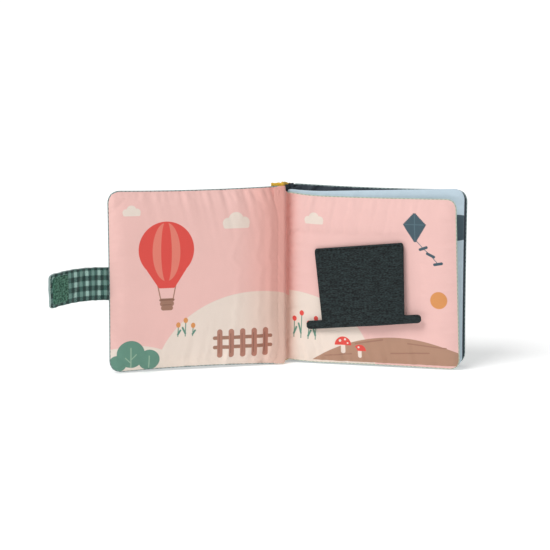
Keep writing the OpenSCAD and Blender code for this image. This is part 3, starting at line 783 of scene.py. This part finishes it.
for name, panel, way, thread, body in (
    ("front_cover_stitches", FRONT_COVER, 1, SLATE_THREAD, "front_cover"),
    ("front_cover_outer_stitches", FRONT_COVER, -1, SLATE_THREAD, "front_cover"),
    ("back_cover_stitches", BACK_COVER, 1, SLATE_THREAD, "back_cover"),
    ("back_cover_inner_stitches", BACK_COVER, -1, SLATE_THREAD, "back_cover"),
    ("front_leaf_stitches", FRONT_LEAF, -1, SAGE_THREAD, "pages_and_spine"),
    ("rear_leaf_stitches", REAR_LEAF, 1, SAGE_THREAD, "pages_and_spine"),
):
    stitches(name, *sew(*rim_line(panel, way, 1.0), 3.9), (1.15, 0.3), thread, body)

# %% [markdown]
# The strap is doubled check cloth that is sewn into the cover's edge. Its middle line is an arc, and a profile is
# carried along it: a flat band with round edges, pinched where the stitching runs. It is thin where it enters the
# seam, and its free end is rounded.

# %% The closing strap
STRAP_L, STRAP_W, STRAP_T, STRAP_START, STRAP_CURL = 74.0, 31.0, 3.0, math.radians(27), math.radians(16)
CURL_R, STRAP_X, STRAP_Z = STRAP_L / STRAP_CURL, 168.48, 84.0
STRAP_RISE, STRAP_SAG, STRAP_STRETCH, STRAP_ROOT = 9.0, 8.0, 1.27, -2.5
SEAM_SIDE, SEAM_END = 2.2, 2.4


def on_strap(s, up, out):
    """Distance s along the arc, height up from its middle line and distance out towards the reader, on the table."""
    angle = STRAP_START + s / CURL_R
    x = STRAP_X + CURL_R * (np.sin(angle) - math.sin(STRAP_START)) - out * np.sin(angle)
    y = CURL_R * (math.cos(STRAP_START) - np.cos(angle)) + out * np.cos(angle)
    z = STRAP_Z + up + STRAP_RISE * s / STRAP_L - STRAP_SAG * (s / STRAP_L) ** 2
    return on_table(np.stack([x, y, z], axis=-1), FRONT_COVER.place, FRONT_COVER.angle)


def round_end(gap, radius):
    """How far a side moves in at a distance gap from a rounded end."""
    return radius - np.sqrt(np.maximum(radius**2 - np.maximum(radius - gap, 0) ** 2, 0))


def packed(first, last, count, edge):
    """Evenly spaced numbers with one more close to each end, which keeps that edge crisp."""
    return np.concatenate([[first], np.linspace(first + edge, last - edge, count), [last]])


up, s = np.meshgrid(packed(-1, 1, 23, 0.03), packed(STRAP_ROOT, STRAP_L, 50, 0.35), indexing="ij")
half_w = STRAP_W / 2 - round_end(STRAP_L - s, 4) + 0.22 * ripple(s * 1.7, 5)
pinch = lambda gap, width: 1 - 0.3 * np.exp(-((gap / width) ** 2))
thick = STRAP_T / 2 * np.clip(0.45 + (s - STRAP_ROOT) / 9, 0, 1) * pinch((1 - abs(up)) * 16 - SEAM_SIDE, 0.7)
thick = thick * pinch(STRAP_L - s - SEAM_END, 0.9) * (abs(up) < 1) * (s > STRAP_ROOT) * (s < STRAP_L)
wavy = 0.35 * ripple(s + 9 * up, 6)
strap_page = np.stack([STRAP_STRETCH * s, up * half_w, 0 * s], axis=-1)
strap_faces = [on_strap(s, up * half_w, wavy + way * thick) for way in (-1, 1)]
strap = shell("strap", *strap_faces, [CHECK_CLOTH, CHECK_CLOTH, EDGE_CLOTH], strap_page, edge=True)
smooth(strap)
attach(strap, "front_cover")
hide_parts("closing_strap")
print("strap points:", len(strap.data.vertices))

# %% The strap's stitches
last = STRAP_L - SEAM_END
run = np.concatenate([np.linspace(2, last, 60), np.full(40, last), np.linspace(last, 2, 60)])
side = np.concatenate([np.full(60, -1), np.linspace(-1, 1, 40), np.full(60, 1)]) * (STRAP_W / 2 - SEAM_SIDE)
reader_side = on_strap(run, side, 1.0 + 0 * run) - on_strap(run, side, 0 * run)
seam = on_strap(run, side, 0.35 * ripple(run + 9 * side / (STRAP_W / 2), 6) + 1.1)
stitches("strap_stitches", *sew(seam, reader_side, 3.4), (1.1, 0.28), DARK_THREAD, "front_cover")
end_up = np.linspace(-12.6, 12.6, 12)
end_run = STRAP_L - 0.9 + 0 * end_up
end_spots = on_strap(end_run, end_up, 1.0)
end_ways = on_strap(end_run + 0.9, end_up - 0.7, 1.0) - end_spots
end_out = end_spots - on_strap(end_run, end_up, 0)
stitches("strap_end_stitches", end_spots, end_ways, end_out, (1.0, 0.36), SAGE_THREAD, "front_cover")
print("seam length, mm:", round(float(np.linalg.norm(np.diff(seam, axis=0), axis=1).sum())))

# %% [markdown]
# The hook patch sits on the strap and the loop patch on the back of the book. Both are small squares of tape with
# rounded corners, a little higher in the middle than at their stitched edge.

# %% The hook and loop patches
PATCH_L, PATCH_W, PATCH_T, PATCH_R = 22.0, 25.0, 1.2, 4.0
LOOP_X = BACK_COVER.width - SEAM_W - SOFT - PATCH_L / 2
HOOK_S = STRAP_L - 3 - PATCH_L / 2


def patch(name, carry, middle, base):
    """A patch whose flat place is (along, up) about middle. carry(along, up, out) puts it on what it is sewn to."""
    v, u = np.meshgrid(packed(-1, 1, 24, 0.04), packed(-1, 1, 24, 0.04), indexing="ij")
    half_h = PATCH_W / 2 - round_end((1 - abs(u)) * PATCH_L / 2, PATCH_R)
    rim = np.minimum((1 - abs(u)) * PATCH_L / 2, (1 - abs(v)) * half_h)
    lumps = 0.1 * ripple(u * 40 + v * 31, 3) * (rim > 1)
    top = base + PATCH_T * (0.55 + 0.45 * rise((rim - 1.2) / 2.5)) * (rim > 0) + lumps
    along, up = middle + u * PATCH_L / 2, v * half_h
    page = np.stack([along, up, 0 * up], axis=-1)
    return shell(name, carry(along, up, base + 0 * u), carry(along, up, top), [TAPE, TAPE], page)


def on_back(along, up, out):
    """The outer face of the back cover: along is x on the panel."""
    x = np.asarray(along)
    z = (STRAP_Z + up) * (1 - BACK_COVER.droop / BACK_COVER.height * x / BACK_COVER.width)
    return on_table(np.stack([x, out + 0 * x, z], axis=-1), BACK_COVER.place, BACK_COVER.angle)


hook_patch = patch("hook_tape", on_strap, HOOK_S, 1.35)
loop_patch = patch("loop_tape", lambda along, up, out: on_back(along, up, out)[:, ::-1], LOOP_X, 4.35)
for piece, body, cad in ((hook_patch, "front_cover", "hook_patch"), (loop_patch, "back_cover", "loop_patch")):
    smooth(piece)
    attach(piece, body)
    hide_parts(cad)
turn = np.linspace(0, 2 * math.pi, 240)
square = np.maximum(abs(np.cos(turn)), abs(np.sin(turn))) ** 0.82
along, up = np.cos(turn) / square * (PATCH_L / 2 - 1.9), np.sin(turn) / square * (PATCH_W / 2 - 1.9)
for name, carry, middle, height, body in (
    ("hook_tape_stitches", on_strap, HOOK_S, 2.25, "front_cover"),
    ("loop_tape_stitches", on_back, LOOP_X, 5.25, "back_cover"),
):
    seam = carry(middle + along, up, height)
    seam_out = seam - carry(middle + along, up, 0)
    stitches(name, *sew(seam, seam_out, 2.9), (1.0, 0.26), GREEN_THREAD, body)
print("patches:", hook_patch.name, loop_patch.name)

# %% [markdown]
# The felt flap is a tall crown on a long straight brim, cut from one sheet and sewn to the page along its top. It
# is one grid: the middle columns follow the sloping sides of the crown, and the outer columns exist only in the
# rows of the brim. It hangs away from the page towards its free edge and sags in a slow wave. On the real book the
# front cover presses it flat against the page when it closes; here it keeps its shape.

# %% The felt flap
CROWN_TOP, CROWN_FOOT, CROWN_H, CROWN_LEAN = 86.0, 80.0, 67.5, 2.0
BRIM_W, BRIM_H, FELT_T = 111.0, 8.5, 2.5
FLAP_X, FLAP_TOP, FLAP_TURN = 72.5, 115.0, math.radians(6)
LIFT, SWING, PRESSED = math.radians(1.5), math.radians(1.5), 0.45


def on_flap(x, down, out):
    """x from the flap's middle, down from its sewn edge, out from its back face, on the table."""
    x1 = x + CROWN_TOP / 2 - CROWN_LEAN * np.minimum(down / CROWN_H, 1)
    y1, z1 = -out - down * math.sin(LIFT), -down * math.cos(LIFT)
    x2 = x1 * math.cos(SWING) + y1 * math.sin(SWING) - CROWN_TOP / 2
    y2 = -x1 * math.sin(SWING) + y1 * math.cos(SWING) - FRONT_LEAF.thickness / 2 - CLEAR
    x3 = x2 * math.cos(FLAP_TURN) - z1 * math.sin(FLAP_TURN) + FLAP_X
    z3 = x2 * math.sin(FLAP_TURN) + z1 * math.cos(FLAP_TURN) + FLAP_TOP
    return on_table(np.stack([x3, y2, z3], axis=-1), FRONT_LEAF.place, FRONT_LEAF.angle)


def flap_sag(x, down):
    """A slow wave that grows downwards, in millimetres towards the reader."""
    free = down / (CROWN_H + BRIM_H)
    return free**1.5 * (0.9 * np.sin(x / 17 + 0.6) + 0.5 * np.sin(x / 7.3) + 0.7)


middle = packed(-1, 1, 43, 0.012)
side = np.concatenate([np.linspace(0.12, 0.96, 8), [1]])
columns = np.concatenate([-1 - side[::-1], middle, 1 + side])
brim_rows = np.linspace(CROWN_H + 0.6, CROWN_H + BRIM_H - 0.6, 5)
rows = np.concatenate([packed(0, CROWN_H - 0.5, 33, 0.5), [CROWN_H], brim_rows, [CROWN_H + BRIM_H]])
down, k = np.meshgrid(rows, columns, indexing="ij")
crown = CROWN_TOP / 2 + (CROWN_FOOT - CROWN_TOP) / 2 * np.minimum(down / CROWN_H, 1) - round_end(down, 2.5)
x = np.sign(k) * (np.minimum(abs(k), 1) * crown + np.maximum(abs(k) - 1, 0) * (BRIM_W / 2 - crown))
brim_mid = CROWN_H + BRIM_H / 2
tip = np.clip((abs(x) - (BRIM_W / 2 - 3)) / 3, 0, 0.98) * (down >= CROWN_H)
flap_down = np.where(down >= CROWN_H, brim_mid + (down - brim_mid) * np.sqrt(1 - tip**2), down)
keep = (abs(k[:-1, :-1] + k[1:, 1:]) / 2 < 1) | (down[:-1, :-1] >= CROWN_H)
page = np.stack([x, flap_down, 0 * x], axis=-1)
sag = flap_sag(x, flap_down)
around = np.pad(keep, 1).astype(int)
whole = around[1:, 1:] + around[:-1, 1:] + around[1:, :-1] + around[:-1, :-1] == 4
front_face, back_face = sag + np.where(whole, FELT_T, FELT_T / 2), sag + np.where(whole, 0, FELT_T / 2)
flap_faces = [on_flap(x, flap_down, face) for face in (front_face, back_face)]
flap = shell("felt_flap_sheet", *flap_faces, [FELT, FELT], page, keep=keep)
smooth(flap)
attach(flap, "pages_and_spine")
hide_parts("felt_flap")

# %% The flap's stitches
x = np.linspace(-CROWN_TOP / 2 + 3, CROWN_TOP / 2 - 3, 60)
row = np.full(60, 2.4)
flap_out = on_flap(x, row, 1 + 0 * x) - on_flap(x, row, 0 * x)
seam = on_flap(x, row, flap_sag(x, row) + FELT_T + 0.25)
flap_stitches = stitches("flap_stitches", *sew(seam, flap_out, 4.0), (1.5, 0.5), DARK_THREAD, "pages_and_spine")
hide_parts("flap_stitching")
for piece in (flap, flap_stitches):
    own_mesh(piece)

# %% [markdown]
# Three strips of cloth run the whole height of the book: the mustard binding round the outside of the spine, and
# the page cloth that closes each gutter. Each is a line seen from above that is carried upwards. A line of a few
# corners becomes a smooth curve when its corners are cut again and again.

# %% Upright strips
def smooth_line(corners, count=40):
    """Cuts each corner at a quarter of its sides, four times, then takes points at equal distances."""
    line = np.asarray(corners, float)
    for _ in range(4):
        after, before = 0.75 * line[:-1] + 0.25 * line[1:], 0.25 * line[:-1] + 0.75 * line[1:]
        line = np.concatenate([line[:1], np.stack([after, before], axis=1).reshape(-1, 2), line[-1:]])
    run = np.concatenate([[0], np.cumsum(np.hypot(*np.diff(line, axis=0).T))])
    at = np.linspace(0, run[-1], count)
    return np.stack([np.interp(at, run, line[:, 0]), np.interp(at, run, line[:, 1])], axis=1), at


def strip(name, corners, low, high, half, material, seed, page_start=0.0):
    """An upright cloth strip. low, high and half thickness are two or more values that are spread along the line.
    The height is low plus a share of high minus low, and a ripple of the seed moves its top edge."""
    line, run = smooth_line(corners)
    along = lambda values: np.interp(run, np.linspace(0, run[-1], len(values)), values)
    tangent = np.gradient(line, axis=0)
    normal = np.stack([-tangent[:, 1], tangent[:, 0]], axis=1) / np.hypot(*tangent.T)[:, None]
    rise_share = packed(0, 1, 46, 0.004)
    thin = np.where((run < 0.01) | (run > run[-1] - 0.01), 0, along(half))
    depth = thin[None, :] * np.where((rise_share > 0) & (rise_share < 1), 1, 0)[:, None]
    uneven = 0.35 * ripple(run * 3, seed) * (rise_share[:, None] > 0)
    z = along(low) + rise_share[:, None] * (along(high) - along(low)) + uneven
    sway = 0.12 * ripple(z + 3 * run, seed + 1)
    faces = [
        np.concatenate([line[None] + normal[None] * (sway + side * depth)[..., None], z[..., None]], axis=-1)
        for side in (-1, 1)
    ]
    page = np.stack([page_start + run + 0 * z, z, 0 * z], axis=-1)
    return shell(name, *faces, [material, material], page)


def line_on(panel, points):
    """Flat (x, y) points of a panel as they lie on the table."""
    return on_table(np.array([[x, y, 0] for x, y in points], float), panel.place, panel.angle)[:, :2]


def spine_arc(first, last, count=9, inside=0.0):
    """Points on the spine's arc between two angles in degrees from its middle, or a little inside it."""
    angle = np.radians(np.linspace(first, last, count))[:, None]
    return SAG_R * SPINE_IN + (SAG_R - inside) * (np.sin(angle) * SPINE_DIR - np.cos(angle) * SPINE_IN)


# %% The spine binding and its lining
LAP = [(11.7, 3.95), (8.5, 3.25), (5.2, 2.45), (2.4, 1.5)]
REACH = math.degrees(math.asin(SPINE_W / 2 / SAG_R)) - math.degrees(2.6 / SAG_R)
front_lap = line_on(FRONT_COVER, [(x, -y) for x, y in LAP])
front_line = np.concatenate([front_lap, [FRONT_COVER.place], spine_arc(-REACH, REACH - 1, 17)])
back_line = np.concatenate([spine_arc(REACH - 12, REACH, 5, 0.5), [BACK_COVER.place], line_on(BACK_COVER, LAP[::-1])])
binding_top, binding_half = (172.2, 172.4, 172.3, 170.8), (0.5, 0.5, 0.9, 0.9, 0.9)
binding_front = strip("spine_binding_front", front_line, (0.6, 0, 0), binding_top, binding_half, MUSTARD, 91)
binding_back = strip("spine_binding_back", back_line, (0, 0), (170, 170, 166, 165), (0.3, 0.6, 0.5), MUSTARD, 93, 24)
lining_end = line_on(BACK_COVER, [(-1.2, -1.9), (1.4, -1.6), (4, -1.5)])
lining_line = np.concatenate([spine_arc(-REACH + 2, REACH - 2, 17, 1.9), lining_end])
lining_top = (168, 168, 168.2, 168.7, 169.8, 169.8)
spine_lining = strip("spine_lining", lining_line, (3, 3), lining_top, (0.12, 0.12), NAVY_PAGE, 92)
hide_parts("front_binding_lap", "spine_binding")
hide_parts("back_binding_lap")
print("spine cloth reaches", round(REACH, 1), "degrees either way, radius", round(SAG_R, 1))

# %% [markdown]
# In each gutter the page cloth runs on from the cover, down into the valley and up on the leaf. The two leaves
# are joined by a soft fold behind them.

# %% Gutters and fold
GUTTER = [(11, 2.75), (6, 2.55), (2.6, 2.3), (0.2, 2.0)]
to_front_leaf = line_on(FRONT_LEAF, [(1.6, -1.7), (3.2, -1.7), (5.5, -1.9)])
to_rear_leaf = line_on(REAR_LEAF, [(9, 2.45), (4.5, 1.95), (1.6, 1.7)])
VALLEY = FRONT_COVER.place + [[0.95, 0.3], [1.15, 3.2], [1.3, 6.0]]
front_valley = np.concatenate([line_on(FRONT_COVER, GUTTER), VALLEY, to_front_leaf])
back_valley = np.concatenate([to_rear_leaf, line_on(BACK_COVER, [(x, -y) for x, y in GUTTER[::-1]])])
front_low, front_high = (1.5, 0.8, 2, 4), (168.4, 169.6, 169.9, 166, 160)
front_gutter = strip(
    "front_gutter", front_valley, front_low, front_high, (0.25, 0.3, 0.25), LEFT_PRINT, 95, FRONT_COVER.width - 11
)
back_gutter = strip("back_gutter", back_valley, (2, 0.6, 0.6), (163, 165, 168), (0.3, 0.5, 0.3), NAVY_PAGE, 97)
BEHIND, PAST = FOLD_R / 2 * SPINE_IN, FOLD_R * SPINE_DIR
fold_line = [FRONT_FOLD + BEHIND - PAST, FRONT_FOLD + BEHIND, REAR_FOLD + BEHIND, REAR_FOLD + BEHIND + PAST]
fold_half = (0.2, 1.9, 2.2, 2.2, 2.2, 2.2, 1.9, 0.2)
page_fold = strip("page_fold", fold_line, (6, 6), (158, 158), fold_half, CREAM_FOLD, 99)
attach(page_fold, "pages_and_spine")
print("gutters:", front_gutter.name, back_gutter.name)

# %% [markdown]
# Cloth that crosses a hinge has to bend when a cover turns. Each strip that crosses one is listed below with two
# bodies and a start and an end point, for a blend that would give each point a share of both: all of the first
# before the start point, all of the second after the end point, and a smooth mix between. The script doesn't make
# that blend: it only bakes each strip's place into its points, so these strips don't follow a turning cover. The
# back gutter is a narrow valley, so its two points lie across it, from one side to the other.

# %% The strips' places, and the lap stitches
cover_side = line_on(FRONT_COVER, [(2.4, -1.5), (1.8, 1.3)])
back_side = line_on(BACK_COVER, [(2.4, 1.5), (1.8, -1.3)])
across_gap = line_on(REAR_LEAF, [(1.6, 3.0), (1.6, 5.8)])
arc_start, arc_end = spine_arc(-REACH, 0)[1], spine_arc(0, REACH)[-2]
for piece, first, second, start, end in (
    (binding_front, "front_cover", "pages_and_spine", cover_side[0], arc_start),
    (binding_back, "pages_and_spine", "back_cover", arc_end, back_side[0]),
    (spine_lining, "pages_and_spine", "back_cover", arc_end, back_side[1]),
    (front_gutter, "front_cover", "pages_and_spine", cover_side[1], to_front_leaf[0]),
    (back_gutter, "pages_and_spine", "back_cover", across_gap[0], across_gap[1]),
):
    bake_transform(piece)
for name, panel, side, body in (
    ("front_lap_stitches", FRONT_COVER, -1, "front_cover"),
    ("back_lap_stitches", BACK_COVER, 1, "back_cover"),
):
    lap_z = np.linspace(3, 164, 80)
    lap = on_table(np.stack([10.4 + 0 * lap_z, side * (4.2 + 0 * lap_z), lap_z], axis=-1), panel.place, panel.angle)
    lap_out = on_table(np.array([[0, side, 0]], float), (0, 0), panel.angle)
    stitches(name, *sew(lap, lap_out, 3.6), (1.2, 0.3), YELLOW_THREAD, body)
for piece in (binding_front, binding_back, spine_lining, front_gutter, back_gutter, page_fold):
    smooth(piece)
print("strips:", [len(p.data.vertices) for p in (binding_front, binding_back, front_gutter, back_gutter, page_fold)])

# %% [markdown]
# The camera stands where the photographer stood: a little above the book, far away, with a long lens.

# %% Camera, floor and light
AIM, RISE, DISTANCE = np.array([-6.95, -18.5, 85.9]), math.radians(8.581), 1800
camera = bpy.data.objects.new("camera", bpy.data.cameras.new("camera"))
camera.data.lens, camera.data.sensor_width = 125.8, 36
camera.data.clip_start, camera.data.clip_end = 0.1, 2000
camera.location = (AIM + DISTANCE * np.array([0, -math.cos(RISE), math.sin(RISE)])) * MM
camera.rotation_euler = (math.pi / 2 - RISE, 0, 0)
bpy.context.scene.collection.objects.link(camera)
bpy.context.scene.camera = camera

FAR = 300000
floor = make_mesh("floor", [[-FAR, -FAR, 0], [FAR, -FAR, 0], [FAR, FAR, 0], [-FAR, FAR, 0]], [[0, 1, 2, 3]], [])
pale = bpy.data.materials.new("pale floor")
pale.use_nodes = True
table_top = pale.node_tree.nodes["Principled BSDF"].inputs
table_top["Base Color"].default_value, table_top["Roughness"].default_value = (0.9, 0.9, 0.9, 1), 0.9
table_top["Emission Color"].default_value, table_top["Emission Strength"].default_value = (1, 1, 1, 1), 0.34
floor.data.materials.append(pale)

world = bpy.data.worlds.new("studio")
world.use_nodes = True
world.node_tree.nodes["Background"].inputs["Color"].default_value = (1, 1, 1, 1)
world.node_tree.nodes["Background"].inputs["Strength"].default_value = 0.45
bpy.context.scene.world = world


def sunlight(name, azimuth, elevation, spread, strength):
    """A distant lamp. azimuth is to the left of the camera, spread is how soft its shadow is, all in degrees."""
    lamp = bpy.data.objects.new(name, bpy.data.lights.new(name, "SUN"))
    lamp.data.angle, lamp.data.energy = math.radians(spread), strength
    lamp.rotation_euler = (math.radians(90 - elevation), 0, -math.radians(azimuth))
    bpy.context.scene.collection.objects.link(lamp)


sunlight("key", 45, 48, 30, 1.75)
bpy.context.scene.view_settings.view_transform = "Standard"
print("camera at, m:", [round(c, 3) for c in camera.location])
